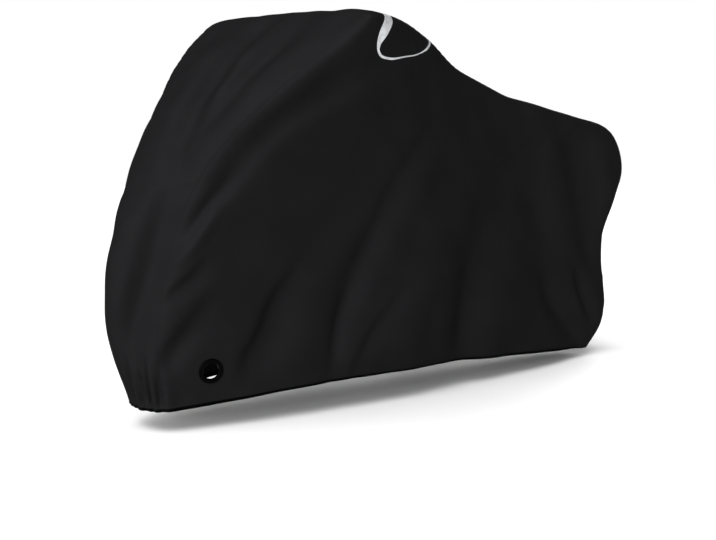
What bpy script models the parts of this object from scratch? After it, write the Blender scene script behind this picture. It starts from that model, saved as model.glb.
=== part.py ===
"""Fitted outdoor cover: a hollow drape of black coated polyester, open below.

Two side panels meet a centre panel, which runs up the front, along the top and down the
rear. Each side panel has an eyelet near the front, and a loop of reflective tape lies over
the top. +X is the rear, -Y is the left side, +Z is up. The origin is the point under the top
on which the cover hangs.
"""
import math
from collections import namedtuple

import bmesh
import bpy
import numpy as np
from mathutils import Matrix, Vector

# ---------------------------------------------------------------- driving sizes, metres
CLOTH = 0.002            # thickness of the cloth
APART = 0.0003           # gap between two pieces that touch
SEAM_PULL = 0.0002       # how far a panel's edge stays back from its seam line
HANG_X = 0.080           # point on which the cover hangs, behind the guide lines' zero
HANG_Z = 1.173           # its height over the floor, at the underside of the top
TURN = 0.200             # forward shift per metre to the far side, as the cover hangs turned
TILT = 0.040             # rise per metre to the far side
SWAY = 0.016             # shift of the top to the far side
TURN_HEIGHTS = (0.40, 1.10)   # turn, tilt and sway grow between these heights over the floor
TURN_REACH = (0.20, 0.80)     # and fade out between these places along the cover

HEM_BAND = 0.015         # width of the turned hem that holds the elastic
ROWS = 23                # rows of cloth above the hem band
SIDE_STEPS = (9, 9, 8, 7, 5, 4)   # columns between two guide lines of a side panel
ACROSS = 16              # columns across the front, the top and the rear
RIM_REACH = 5            # columns of the top strip over which its front and rear ends' bow fades
ROUNDING = 6             # smoothing rounds that round the panel corners
GATHER_DEPTH = 0.0035    # how far a gathered column stands in or out at the hem
GATHER_HEIGHTS = (0.05, 0.35)  # the gathers are full below the first height, gone past the second
HEM_HOLD = 0.45          # share of a fold's height that the elastic hem lets through
HEM_HEIGHTS = (0.06, 0.20)    # it holds the cloth below the first height, not past the second
FOLD_STEPS = 24          # straight steps along a fold's line
FOLD_END = 0.02          # share of its length over which a fold's end stays even
FOLD_TAPER = 0.6         # how fast a fold grows from its ends, less is faster
FOLD_FACING = (0.2, 0.6)      # a fold grows as the cloth turns to face it between these shares
HALF_MOVE = 0.5          # share of the way that smoothing moves a point of the cloth
HEM_MOVE = 0.25          # and a point of the hem, for each of its two neighbours

# ---------------------------------------------------------------- guide lines
# Upright lines round one half of the drape, from the front to the rear. Each row holds the
# line's points (length, half width, height above the floor) at the hem, the ankle, the knee,
# the waist, the chest and the top edge. The crown is the rise of the top strip's middle over
# that edge.
Guide = namedtuple("Guide", "name hem ankle knee waist chest edge crown")
GUIDES = (
    Guide("nose", (-0.454, 0.000, 0.050), (-0.522, 0.000, 0.290), (-0.507, 0.000, 0.480),
          (-0.417, 0.000, 0.720), (-0.242, 0.000, 0.955), (0.050, 0.000, 1.180), 0.000),
    Guide("front_seam", (-0.425, 0.105, 0.054), (-0.440, 0.115, 0.280), (-0.405, 0.130, 0.480),
          (-0.340, 0.180, 0.715), (-0.175, 0.275, 0.935), (0.085, 0.354, 1.172), 0.004),
    Guide("front_quarter", (-0.200, 0.155, 0.072), (-0.170, 0.175, 0.280), (-0.120, 0.195, 0.500),
          (-0.030, 0.235, 0.725), (0.080, 0.280, 0.930), (0.205, 0.325, 1.165), 0.004),
    Guide("front_half", (0.100, 0.190, 0.088), (0.140, 0.210, 0.280), (0.190, 0.220, 0.500),
          (0.250, 0.240, 0.720), (0.310, 0.255, 0.925), (0.370, 0.265, 1.130), 0.000),
    Guide("middle", (0.450, 0.195, 0.088), (0.480, 0.225, 0.280), (0.500, 0.215, 0.480),
          (0.520, 0.205, 0.700), (0.535, 0.205, 0.880), (0.545, 0.198, 1.060), 0.006),
    Guide("rear_half", (0.820, 0.165, 0.073), (0.820, 0.185, 0.270), (0.815, 0.170, 0.460),
          (0.810, 0.155, 0.650), (0.805, 0.150, 0.820), (0.800, 0.140, 0.980), 0.012),
    Guide("rear_quarter", (1.150, 0.130, 0.050), (1.160, 0.135, 0.260), (1.160, 0.125, 0.430),
          (1.165, 0.120, 0.600), (1.165, 0.115, 0.760), (1.165, 0.110, 0.918), 0.006),
    Guide("rear_seam", (1.385, 0.085, 0.022), (1.468, 0.095, 0.230), (1.468, 0.095, 0.390),
          (1.492, 0.095, 0.550), (1.570, 0.090, 0.715), (1.510, 0.085, 0.868), 0.004),
    Guide("tail", (1.430, 0.000, 0.018), (1.515, 0.000, 0.230), (1.515, 0.000, 0.390),
          (1.545, 0.000, 0.550), (1.625, 0.000, 0.715), (1.550, 0.000, 0.868), 0.000),
)

# ---------------------------------------------------------------- folds
# One row for each main fold. Its line runs through the given points, seen square to its
# panel: (along, up) on a side and (across, up) on the front. The half width is where the
# fold has sunk to a third, and a positive height is a ridge, a negative one a trough.
Fold = namedtuple("Fold", "panel half_width height line")
FOLDS = (
    # left side: long drag lines from the top edge down to the front seam
    Fold("near", 0.042, 0.017, ((0.36, 1.02), (0.04, 0.92), (-0.16, 0.765),
         (-0.34, 0.55), (-0.43, 0.43))),
    Fold("near", 0.042, -0.017, ((0.14, 1.11), (-0.11, 0.90), (-0.25, 0.755),
         (-0.33, 0.61), (-0.37, 0.50))),
    Fold("near", 0.050, 0.008, ((0.03, 1.07), (-0.17, 0.90), (-0.29, 0.74), (-0.35, 0.60))),
    # left side: short tucks at the front seam
    Fold("near", 0.036, -0.012, ((-0.24, 0.500), (-0.34, 0.430), (-0.43, 0.345))),
    Fold("near", 0.036, -0.014, ((-0.24, 0.395), (-0.34, 0.310), (-0.42, 0.215))),
    # left side: troughs that fan out to the hem
    Fold("near", 0.042, -0.020, ((0.04, 0.54), (-0.036, 0.42), (-0.12, 0.325),
         (-0.20, 0.20), (-0.27, 0.08))),
    Fold("near", 0.055, 0.012, ((0.28, 0.76), (0.08, 0.50), (-0.01, 0.35),
         (-0.08, 0.20), (-0.12, 0.02))),
    Fold("near", 0.045, -0.017, ((0.43, 0.95), (0.30, 0.74), (0.21, 0.55),
         (0.12, 0.33), (0.065, 0.05), (0.05, -0.08))),
    Fold("near", 0.055, 0.011, ((0.50, 0.88), (0.37, 0.64), (0.25, 0.45),
         (0.19, 0.30), (0.10, 0.08), (0.07, -0.05))),
    Fold("near", 0.038, -0.010, ((0.30, 0.38), (0.22, 0.26), (0.15, 0.14), (0.11, 0.02))),
    Fold("near", 0.065, -0.028, ((0.75, 0.66), (0.63, 0.46), (0.56, 0.33),
         (0.53, 0.18), (0.52, 0.00), (0.52, -0.15))),
    Fold("near", 0.070, 0.012, ((0.50, 0.55), (0.42, 0.36), (0.37, 0.20), (0.36, 0.00), (0.36, -0.10))),
    Fold("near", 0.090, 0.014, ((0.90, 0.50), (0.80, 0.36), (0.74, 0.20), (0.73, 0.00), (0.73, -0.10))),
    # left side: rear
    Fold("near", 0.060, -0.010, ((0.92, 0.82), (0.98, 0.62), (1.02, 0.42), (1.03, 0.28))),
    Fold("near", 0.045, -0.014, ((1.14, 0.82), (1.21, 0.68), (1.29, 0.56), (1.35, 0.40), (1.38, 0.26))),
    Fold("near", 0.045, -0.014, ((1.00, 0.32), (1.12, 0.20), (1.26, 0.10), (1.38, 0.00))),
    Fold("near", 0.040, 0.010, ((1.08, 0.40), (1.22, 0.26), (1.36, 0.13), (1.44, 0.05))),
    Fold("near", 0.050, 0.012, ((1.34, 0.86), (1.44, 0.74), (1.48, 0.60), (1.49, 0.45))),
    # front: drag lines from the top edge's middle down along the left seam
    Fold("front", 0.040, -0.018, ((0.02, 1.20), (-0.02, 1.07), (-0.035, 0.98),
         (-0.07, 0.88), (-0.10, 0.75))),
    Fold("front", 0.040, 0.014, ((-0.09, 1.16), (-0.10, 1.04), (-0.12, 0.95), (-0.15, 0.82))),
    Fold("front", 0.040, -0.010, ((-0.20, 1.16), (-0.18, 1.04), (-0.18, 0.95), (-0.19, 0.84))),
    Fold("front", 0.060, 0.014, ((0.12, 1.16), (0.07, 0.98), (0.03, 0.78), (0.01, 0.60))),
    Fold("front", 0.044, -0.012, ((0.24, 1.14), (0.18, 0.98), (0.13, 0.80), (0.11, 0.66))),
    Fold("front", 0.040, 0.012, ((-0.16, 0.80), (-0.13, 0.62), (-0.11, 0.46),
         (-0.10, 0.33), (-0.08, 0.18))),
    Fold("front", 0.036, -0.010, ((-0.05, 0.70), (-0.04, 0.50), (-0.04, 0.36), (-0.03, 0.22))),
    Fold("front", 0.036, 0.008, ((0.06, 0.62), (0.05, 0.45), (0.04, 0.30), (0.03, 0.18))),
    # right side
    Fold("far", 0.042, 0.014, ((0.30, 1.06), (0.02, 0.93), (-0.18, 0.74),
         (-0.32, 0.56), (-0.42, 0.40))),
    Fold("far", 0.044, -0.014, ((0.10, 1.12), (-0.13, 0.90), (-0.27, 0.73), (-0.36, 0.55))),
    Fold("far", 0.030, -0.010, ((-0.25, 0.44), (-0.34, 0.36), (-0.43, 0.26))),
    Fold("far", 0.042, -0.018, ((0.02, 0.60), (-0.05, 0.44), (-0.13, 0.30),
         (-0.20, 0.16), (-0.24, 0.02))),
    Fold("far", 0.055, 0.012, ((0.22, 0.72), (0.10, 0.50), (0.03, 0.30), (0.00, 0.10), (0.00, -0.08))),
    Fold("far", 0.045, -0.020, ((0.40, 0.90), (0.31, 0.68), (0.24, 0.46),
         (0.19, 0.24), (0.17, 0.00), (0.17, -0.12))),
    Fold("far", 0.060, 0.014, ((0.52, 0.80), (0.44, 0.58), (0.37, 0.36), (0.34, 0.12), (0.33, -0.06))),
    Fold("far", 0.065, -0.030, ((0.78, 0.72), (0.68, 0.50), (0.63, 0.32), (0.61, 0.14), (0.60, -0.12))),
    Fold("far", 0.080, 0.014, ((0.95, 0.60), (0.88, 0.40), (0.84, 0.20), (0.83, -0.08))),
    Fold("far", 0.050, -0.014, ((1.10, 0.84), (1.17, 0.66), (1.22, 0.46), (1.24, 0.28))),
    Fold("far", 0.045, -0.012, ((0.98, 0.36), (1.10, 0.22), (1.24, 0.12), (1.36, 0.01))),
    Fold("far", 0.045, 0.010, ((1.22, 0.48), (1.32, 0.30), (1.40, 0.14), (1.44, 0.02))),
)

# ---------------------------------------------------------------- fittings
EYELET_AT = (-0.293, 0.141, 0.165)   # along, half width and height above the floor
EYELET_YAW = math.radians(12.0)      # how far its face looks forward from square to the side
EYELET_DIP = math.radians(4.0)       # how far its face looks down
EYELET_HOLE = 0.0225                 # radius of the clear hole
EYELET_RIM = 0.0350                  # radius of the flange
EYELET_SIDES = 24                    # flats round an eyelet
EYELET_FLAT = (0.085, 0.150)         # cloth is flat inside the first radius, free past the second
NECK_WALL = 0.0015                   # wall of the neck that goes through the cloth
NECK_LIP = 0.0030                    # how far the neck is rolled out over the washer
LIP = 0.0010                         # thickness of that lip
WASHER = 0.0015                      # thickness of the washer inside
WASHER_RIM = 0.0330                  # radius of the washer
NECK = EYELET_HOLE + NECK_WALL       # outer radius of the neck
HOLE_CUTTER = 0.040                  # length of the plug that cuts the cloth's hole

# The flange seen in section: (radius as a share of the way from hole to rim, height). Its
# crown is a flat ring.
CROWN = 0.0034
FLANGE_SECTION = ((1.00, APART), (1.00, 0.0012), (0.88, 0.0027), (0.68, CROWN), (0.34, CROWN),
                  (0.14, 0.0027), (0.00, 0.0014))

TAPE = 0.0010                        # thickness of the reflective tape
# Middle line of the tape seen from the side: (along, height above the floor, width). It
# runs down the left of the loop, along its foot and up the right, and both ends go on
# over the top to the same loop on the other side.
TAPE_LINE = (
    (0.218, 1.260, 0.034), (0.214, 1.140, 0.034), (0.190, 1.088, 0.026), (0.180, 1.058, 0.014),
    (0.200, 1.034, 0.008), (0.250, 1.029, 0.007), (0.310, 1.038, 0.007), (0.370, 1.056, 0.007),
    (0.415, 1.084, 0.009), (0.436, 1.120, 0.010), (0.440, 1.260, 0.010))
TAPE_STEPS = 20                      # steps along that line
TAPE_PATCH = (0.10, 0.52, 0.96)      # cloth under the tape: from, to and above these places
TAPE_CUTTER = 0.50                   # half length of the cutter across the cover


def blend(value, start, end):
    """Smooth step from 0 at start to 1 at end."""
    share = np.clip((np.asarray(value, float) - start) / (end - start), 0.0, 1.0)
    return share * share * (3.0 - 2.0 * share)


def smooth_line(points, shares):
    """Points at the given shares of a smooth curve through the given points."""
    points = np.asarray(points, float)
    spans = np.linalg.norm(np.diff(points, axis=0), axis=1)
    knots = np.concatenate(([0.0], np.cumsum(spans))) / spans.sum()
    slopes = np.gradient(points, knots, axis=0)
    shares = np.asarray(shares, float)
    first = np.clip(np.searchsorted(knots, shares, side="right") - 1, 0, len(spans) - 1)
    width = (knots[first + 1] - knots[first])[:, None]
    t = (shares - knots[first])[:, None] / width
    start, end = points[first], points[first + 1]
    return (start * (2 * t**3 - 3 * t**2 + 1) + slopes[first] * width * (t**3 - 2 * t**2 + t)
            + end * (3 * t**2 - 2 * t**3) + slopes[first + 1] * width * (t**3 - t**2))


# ---------------------------------------------------------------- the drape's net
SIDE = sum(SIDE_STEPS)
RING = 2 * SIDE + 2 * ACROSS
LEVELS = ROWS + 2


def guide_line(guide):
    """The points of one guide line at every level, from the hem up to the top edge."""
    heights = (guide.hem, guide.ankle, guide.knee, guide.waist, guide.chest, guide.edge)
    length = np.linalg.norm(np.diff(np.array(heights), axis=0), axis=1).sum()
    band = HEM_BAND / length
    shares = np.concatenate(([0.0], np.linspace(band, 1.0, ROWS + 1)))
    return smooth_line(heights, shares)


def side_level(lines, level):
    """One level of a side panel: a curve through its guide lines, column by column."""
    points = np.array([line[level] for line in lines])
    spans = np.linalg.norm(np.diff(points, axis=0), axis=1)
    knots = np.concatenate(([0.0], np.cumsum(spans))) / spans.sum()
    shares = [0.0]
    for start, end, steps in zip(knots[:-1], knots[1:], SIDE_STEPS):
        shares.extend(start + (end - start) * (step + 1) / steps for step in range(steps))
    return smooth_line(points, shares)


def end_level(seam, middle):
    """One level of the front or rear, bowed from seam to seam through the middle point."""
    across = np.linspace(-1.0, 1.0, ACROSS + 1)
    bow = 1.0 - across**2
    x = seam[0] + (middle[0] - seam[0]) * bow
    z = seam[2] + (middle[2] - seam[2]) * bow
    return np.stack([x, across * seam[1], z], axis=1)


def ring_level(lines, level):
    """One closed ring of the drape: near side, rear, far side and front."""
    near = side_level(lines[1:-1], level) * (1.0, -1.0, 1.0)
    far = (near * (1.0, -1.0, 1.0))[::-1]
    rear = end_level(lines[-2][level], lines[-1][level])
    front = end_level(lines[1][level], lines[0][level])[::-1]
    return np.concatenate([near[:-1], rear[:-1], far[:-1], front[:-1]])


def net_faces():
    """Quads of the drape, as lists for the near, far and centre panels."""
    panels = {"near": [], "far": [], "centre": []}
    for level in range(LEVELS - 1):
        for column in range(RING):
            after = (column + 1) % RING
            if column < SIDE:
                panel = "near"
            elif SIDE + ACROSS <= column < 2 * SIDE + ACROSS:
                panel = "far"
            else:
                panel = "centre"
            low, high = level * RING, (level + 1) * RING
            panels[panel].append((low + column, low + after, high + after, high + column))
    for across in range(ACROSS):
        for along in range(SIDE):
            corners = (across, along), (across, along + 1), (across + 1, along + 1), (across + 1, along)
            panels["centre"].append(tuple(top_index(*corner) for corner in corners))
    return panels


def top_index(across, along):
    """Index of a point of the top strip, whose rim is the ring's highest level."""
    rim = (LEVELS - 1) * RING
    if across == 0:
        return rim + along
    if across == ACROSS:
        return rim + 2 * SIDE + ACROSS - along
    if along == 0:
        return rim + (RING - across) % RING
    if along == SIDE:
        return rim + SIDE + across
    return LEVELS * RING + (across - 1) * (SIDE - 1) + along - 1


def top_points(ring):
    """Inner points of the top strip, stretched between the two top edges."""
    knots = np.concatenate(([0], np.cumsum(SIDE_STEPS)))
    crowns = np.interp(np.arange(SIDE + 1), knots, [guide.crown for guide in GUIDES[1:-1]])
    near_corners = ring[0], ring[SIDE]
    far_corners = ring[2 * SIDE + ACROSS], ring[SIDE + ACROSS]
    points = []
    for across in range(1, ACROSS):
        share = across / ACROSS
        bow = 1.0 - (2.0 * share - 1.0) ** 2
        straight = [near + (far - near) * share for near, far in zip(near_corners, far_corners)]
        front = ring[RING - across] - straight[0]
        rear = ring[SIDE + across] - straight[1]
        for along in range(1, SIDE):
            near, far = ring[along], ring[2 * SIDE + ACROSS - along]
            point = near + (far - near) * share
            point += front * max(0.0, 1.0 - along / RIM_REACH)
            point += rear * max(0.0, 1.0 - (SIDE - along) / RIM_REACH)
            point[2] += crowns[along] * bow
            points.append(point)
    return np.array(points)


def fair(points, faces):
    """Round the corners: each point moves halfway to the mean of its neighbours."""
    edges = {tuple(sorted((face[i], face[(i + 1) % 4]))) for face in faces for i in range(4)}
    edges = np.array(sorted(edges))
    hem = points[:RING].copy()
    for _ in range(ROUNDING):
        total = np.zeros_like(points)
        count = np.zeros((len(points), 1))
        for start, end in (edges.T, edges.T[::-1]):
            np.add.at(total, start, points[end])
            np.add.at(count, start, 1.0)
        points = points + HALF_MOVE * (total / count - points)
        hem = hem + HEM_MOVE * (np.roll(hem, 1, axis=0) + np.roll(hem, -1, axis=0) - 2 * hem)
        points[:RING] = hem
    return points


def point_normals(points, faces):
    """Outward unit normal of the net at each point."""
    quads = np.array(faces)
    corners = points[quads]
    facing = np.cross(corners[:, 2] - corners[:, 0], corners[:, 3] - corners[:, 1])
    normals = np.zeros_like(points)
    for corner in range(4):
        np.add.at(normals, quads[:, corner], facing)
    return normals / np.linalg.norm(normals, axis=1, keepdims=True)


def turn_top(points):
    """Shift the far half forward and the near half back, as the cover hangs turned."""
    grow = blend(points[:, 2], *TURN_HEIGHTS) * (1.0 - blend(points[:, 0], *TURN_REACH))
    points[:, 0] -= TURN * grow * points[:, 1]
    points[:, 2] += TILT * grow * points[:, 1]
    points[:, 1] += SWAY * grow
    return points


def fold_push(points, normals, fold):
    """How far one fold moves each point along its normal."""
    chart = points[:, [1, 2]] if fold.panel == "front" else points[:, [0, 2]]
    facing = {"near": -normals[:, 1], "far": normals[:, 1], "front": -normals[:, 0]}[fold.panel]
    path = smooth_line(fold.line, np.linspace(0.0, 1.0, FOLD_STEPS + 1))
    away = np.full(len(points), np.inf)
    share = np.zeros(len(points))
    for step, (start, end) in enumerate(zip(path[:-1], path[1:])):
        run = end - start
        t = np.clip(((chart - start) @ run) / (run @ run), 0.0, 1.0)
        distance = np.linalg.norm(chart - start - t[:, None] * run, axis=1)
        closer = distance < away
        away[closer] = distance[closer]
        share[closer] = (step + t[closer]) / FOLD_STEPS
    taper = np.sin(np.pi * np.clip(share, FOLD_END, 1.0 - FOLD_END)) ** FOLD_TAPER
    held = HEM_HOLD + (1.0 - HEM_HOLD) * blend(chart[:, 1], *HEM_HEIGHTS)
    shape = np.exp(-(away / fold.half_width) ** 2)
    return fold.height * shape * taper * held * blend(facing, *FOLD_FACING)


def gather(points, normals):
    """Draw the cloth into small pleats above the elastic at the front and the rear."""
    column = np.arange(RING)
    front = column >= 2 * SIDE + ACROSS
    rear = (column >= SIDE) & (column <= SIDE + ACROSS)
    depth = np.where(front | rear, GATHER_DEPTH, 0.0) * np.where(column % 2 == 0, 1.0, -1.0)
    for level in range(LEVELS):
        row = slice(level * RING, (level + 1) * RING)
        fade = 1.0 - blend(points[row, 2], *GATHER_HEIGHTS)
        points[row] += normals[row] * (depth * fade)[:, None]
    return points


def eyelet_frame(side):
    """Centre and outward direction of the eyelet on one side, -1 near and +1 far."""
    along, half_width, height = EYELET_AT
    centre = Vector((along, side * half_width, height))
    level = math.cos(EYELET_DIP)
    outward = Vector((-math.sin(EYELET_YAW) * level, side * math.cos(EYELET_YAW) * level,
                      -math.sin(EYELET_DIP)))
    return centre, outward


def flatten_at_eyelets(points):
    """Lay the cloth flat where an eyelet clamps it."""
    for side in (-1, 1):
        centre, outward = (np.array(vector) for vector in eyelet_frame(side))
        offset = points - centre
        height = offset @ outward
        radius = np.linalg.norm(offset - height[:, None] * outward, axis=1)
        same_side = points[:, 1] * side > 0
        weight = (1.0 - blend(radius, *EYELET_FLAT)) * same_side
        points = points - (weight * height)[:, None] * outward
    return points


def drape():
    """The whole drape: its points, their normals and the quads of each panel."""
    lines = [guide_line(guide) for guide in GUIDES]
    rings = [ring_level(lines, level) for level in range(LEVELS)]
    points = np.concatenate(rings + [top_points(rings[-1])])
    panels = net_faces()
    faces = panels["near"] + panels["far"] + panels["centre"]
    points = turn_top(fair(points, faces))
    normals = point_normals(points, faces)
    push = sum((fold_push(points, normals, fold) for fold in FOLDS), np.zeros(len(points)))
    points = points + normals * push[:, None]
    points = gather(points, normals)
    points = flatten_at_eyelets(points)
    normals = point_normals(points, faces)
    return points - (HANG_X, 0.0, HANG_Z), normals, panels


# ---------------------------------------------------------------- solids
def cloth_solid(name, points, normals, faces, outside=0.0, thickness=CLOTH, pull=SEAM_PULL):
    """A sheet of even thickness under the given quads, its edges held back from the seams."""
    used = sorted({index for face in faces for index in face})
    place = {index: number for number, index in enumerate(used)}
    count = {}
    for face in faces:
        for i in range(4):
            edge = tuple(sorted((face[i], face[(i + 1) % 4])))
            count[edge] = count.get(edge, 0) + 1
    rim = {index for edge, uses in count.items() if uses == 1 for index in edge}
    inward = {index: np.zeros(3) for index in rim}
    for face in faces:
        middle = points[list(face)].mean(axis=0)
        for index in face:
            if index in rim:
                inward[index] += middle - points[index]
    outer = []
    for index in used:
        point = points[index] + normals[index] * outside
        if index in rim and pull > 0.0:
            step = inward[index] - normals[index] * (inward[index] @ normals[index])
            point = point + pull * step / np.linalg.norm(step)
        outer.append(point)
    inner = [point - normals[index] * thickness for index, point in zip(used, outer)]
    mesh = bmesh.new()
    verts = [mesh.verts.new(point) for point in outer + inner]
    below = len(used)
    for face in faces:
        corners = [place[index] for index in face]
        mesh.faces.new([verts[corner] for corner in corners])
        mesh.faces.new([verts[corner + below] for corner in reversed(corners)])
        for i in range(4):
            if count[tuple(sorted((face[i], face[(i + 1) % 4])))] == 1:
                start, end = corners[i], corners[(i + 1) % 4]
                mesh.faces.new([verts[end], verts[start], verts[start + below], verts[end + below]])
    return finish_object(name, mesh)


def finish_object(name, mesh, smooth_angle=40.0):
    """Turn a bmesh into a named object of triangles, smooth but for its sharp edges."""
    bmesh.ops.triangulate(mesh, faces=mesh.faces[:], quad_method="SHORT_EDGE")
    data = bpy.data.meshes.new(name)
    mesh.to_mesh(data)
    mesh.free()
    data.shade_smooth()
    data.set_sharp_from_angle(angle=math.radians(smooth_angle))
    part = bpy.data.objects.new(name, data)
    bpy.context.scene.collection.objects.link(part)
    return part


def material(name, colour, roughness, metallic=0.0):
    """A Principled material of one colour."""
    made = bpy.data.materials.new(name)
    made.use_nodes = True
    shader = made.node_tree.nodes["Principled BSDF"]
    shader.inputs["Base Color"].default_value = (*colour, 1.0)
    shader.inputs["Roughness"].default_value = roughness
    shader.inputs["Metallic"].default_value = metallic
    return made


def eyelet_place(side):
    """The matrix that stands a shape made about Z on an eyelet's axis."""
    centre, outward = eyelet_frame(side)
    axis = outward.to_track_quat("Z", "Y").to_matrix().to_4x4()
    return Matrix.Translation(centre - Vector((HANG_X, 0.0, HANG_Z))) @ axis


def turned_ring(name, section, side):
    """A ring turned about an eyelet's axis from a closed section of (radius, height)."""
    place = eyelet_place(side)
    mesh = bmesh.new()
    rings = []
    for step in range(EYELET_SIDES):
        angle = 2.0 * math.pi * step / EYELET_SIDES
        across, up = math.cos(angle), math.sin(angle)
        ring = [place @ Vector((radius * across, radius * up, height)) for radius, height in section]
        rings.append([mesh.verts.new(point) for point in ring])
    for ring, following in zip(rings, rings[1:] + rings[:1]):
        for i in range(len(section)):
            after = (i + 1) % len(section)
            mesh.faces.new([ring[i], following[i], following[after], ring[after]])
    bmesh.ops.recalc_face_normals(mesh, faces=mesh.faces[:])
    return finish_object(name, mesh, smooth_angle=50.0)


def hole_cutter(name, side):
    """A plug that cuts the neck's way through the cloth."""
    radius = NECK + 1.5 * APART
    mesh = bmesh.new()
    bmesh.ops.create_cone(mesh, cap_ends=True, segments=EYELET_SIDES, radius1=radius, radius2=radius,
                          depth=HOLE_CUTTER, matrix=eyelet_place(side))
    return as_cutter(finish_object(name, mesh))


def as_cutter(cutter):
    """Mark an object as a tool that is no piece of the cover."""
    cutter.hide_render = True
    cutter.display_type = "WIRE"
    return cutter


def cut(part, cutter, operation):
    """Cut a part with a cutter."""
    step = part.modifiers.new(operation.lower(), "BOOLEAN")
    step.operation = operation
    step.solver = "EXACT"
    step.object = cutter


def eyelet(name, side):
    """The flanged ring outside the cloth, whose neck goes through it and grips the washer."""
    width = EYELET_RIM - EYELET_HOLE
    flange = [(EYELET_HOLE + share * width, height) for share, height in FLANGE_SECTION]
    lip_top = -CLOTH - 3.0 * APART - WASHER
    neck = [(EYELET_HOLE, lip_top - LIP), (NECK + NECK_LIP, lip_top - LIP),
            (NECK + NECK_LIP, lip_top), (NECK, lip_top), (NECK, APART)]
    return turned_ring(name, flange + neck, side)


def washer(name, side):
    """The flat ring inside the cloth."""
    top = -CLOTH - APART
    inner, foot = NECK + APART, top - WASHER
    section = [(inner, top), (inner, foot), (WASHER_RIM, foot), (WASHER_RIM, top)]
    return turned_ring(name, section, side)


def tape_outline():
    """Both edges of the tape, seen from the side."""
    rows = smooth_line(TAPE_LINE, np.linspace(0.0, 1.0, TAPE_STEPS + 1))
    line, width = rows[:, :2], rows[:, 2:]
    run = np.gradient(line, axis=0)
    run /= np.linalg.norm(run, axis=1, keepdims=True)
    square = np.stack([-run[:, 1], run[:, 0]], axis=1)
    return line + square * width / 2.0, line - square * width / 2.0


def tape_cutter(name):
    """A bar across the whole cover in the outline of the tape."""
    left, right = tape_outline()
    mesh = bmesh.new()
    ends = []
    for side in (-TAPE_CUTTER, TAPE_CUTTER):
        for edge in (left, right):
            ends.append([mesh.verts.new((x - HANG_X, side, z - HANG_Z)) for x, z in edge])
    near_left, near_right, far_left, far_right = ends
    for i in range(TAPE_STEPS):
        mesh.faces.new([near_left[i], near_left[i + 1], near_right[i + 1], near_right[i]])
        mesh.faces.new([far_left[i], far_right[i], far_right[i + 1], far_left[i + 1]])
        mesh.faces.new([near_left[i], far_left[i], far_left[i + 1], near_left[i + 1]])
        mesh.faces.new([near_right[i], near_right[i + 1], far_right[i + 1], far_right[i]])
    mesh.faces.new([near_left[0], near_right[0], far_right[0], far_left[0]])
    mesh.faces.new([near_left[-1], far_left[-1], far_right[-1], near_right[-1]])
    bmesh.ops.recalc_face_normals(mesh, faces=mesh.faces[:])
    return as_cutter(finish_object(name, mesh))


def reflective_tape(name, points, normals, panels):
    """A thin skin over the cloth of the top, cut to the outline of the loop."""
    start, end, lowest = TAPE_PATCH
    faces = [face for panel in panels.values() for face in panel
             if start < points[list(face), 0].mean() + HANG_X < end
             and points[list(face), 2].mean() + HANG_Z > lowest]
    part = cloth_solid(name, points, normals, faces, outside=APART + TAPE, thickness=TAPE, pull=0.0)
    cut(part, tape_cutter("tape_outline"), "INTERSECT")
    return part


def build():
    """Model every piece of the cover."""
    for old in list(bpy.data.objects):
        bpy.data.objects.remove(old, do_unlink=True)
    black_cloth = material("black_polyester", (0.012, 0.012, 0.013), 0.45)
    black_plastic = material("black_moulded_plastic", (0.004, 0.004, 0.004), 0.30)
    silver_tape = material("silver_reflective_tape", (0.55, 0.56, 0.57), 0.40, 0.30)
    points, normals, panels = drape()
    for name, panel, side in (("side_panel_left", "near", -1), ("side_panel_right", "far", 1),
                              ("centre_panel", "centre", 0)):
        part = cloth_solid(name, points, normals, panels[panel])
        part.data.materials.append(black_cloth)
        if side:
            hand = "left" if side < 0 else "right"
            cut(part, hole_cutter("eyelet_hole_" + hand, side), "DIFFERENCE")
            eyelet("eyelet_" + hand, side).data.materials.append(black_plastic)
            washer("eyelet_washer_" + hand, side).data.materials.append(black_plastic)
    reflective_tape("reflective_tape", points, normals, panels).data.materials.append(silver_tape)


build()
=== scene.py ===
"""A fitted outdoor cover of black coated polyester, draped as it hangs in use.

Two side panels meet a centre panel that runs up the front, along the top and down the
rear. An elastic hem draws it in below. Each side panel has a moulded eyelet near the front,
and a loop of reflective tape lies over the top.
"""

import math
from collections import namedtuple

import bmesh
import bpy
import numpy as np
from mathutils import Matrix, Vector
from mathutils.bvhtree import BVHTree
from mathutils.kdtree import KDTree


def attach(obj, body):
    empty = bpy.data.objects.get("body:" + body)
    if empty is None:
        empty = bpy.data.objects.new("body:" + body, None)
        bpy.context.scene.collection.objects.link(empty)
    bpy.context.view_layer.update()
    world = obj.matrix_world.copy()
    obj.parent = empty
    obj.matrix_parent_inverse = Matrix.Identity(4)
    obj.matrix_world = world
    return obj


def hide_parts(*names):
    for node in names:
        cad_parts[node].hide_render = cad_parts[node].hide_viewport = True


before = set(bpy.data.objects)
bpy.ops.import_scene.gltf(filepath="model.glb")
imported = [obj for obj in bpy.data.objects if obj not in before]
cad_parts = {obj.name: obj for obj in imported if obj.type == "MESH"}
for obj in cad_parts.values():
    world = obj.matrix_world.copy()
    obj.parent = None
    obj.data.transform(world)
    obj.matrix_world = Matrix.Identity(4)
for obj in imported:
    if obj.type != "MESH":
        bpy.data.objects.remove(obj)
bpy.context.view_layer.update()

# ------------ the drape's sizes, metres
HANG = (0.080, 0.000, 1.173)  # where the cover hangs: along, across, height over the floor
TURN = 0.200  # forward shift per metre to the far side
TILT = 0.040  # rise per metre to the far side
SWAY = 0.016  # shift of the top to the far side
TURN_HEIGHTS = (0.40, 1.10)  # turn, tilt and sway grow between these heights over the floor
TURN_REACH = (0.20, 0.80)  # and fade out between these places along the cover

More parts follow.
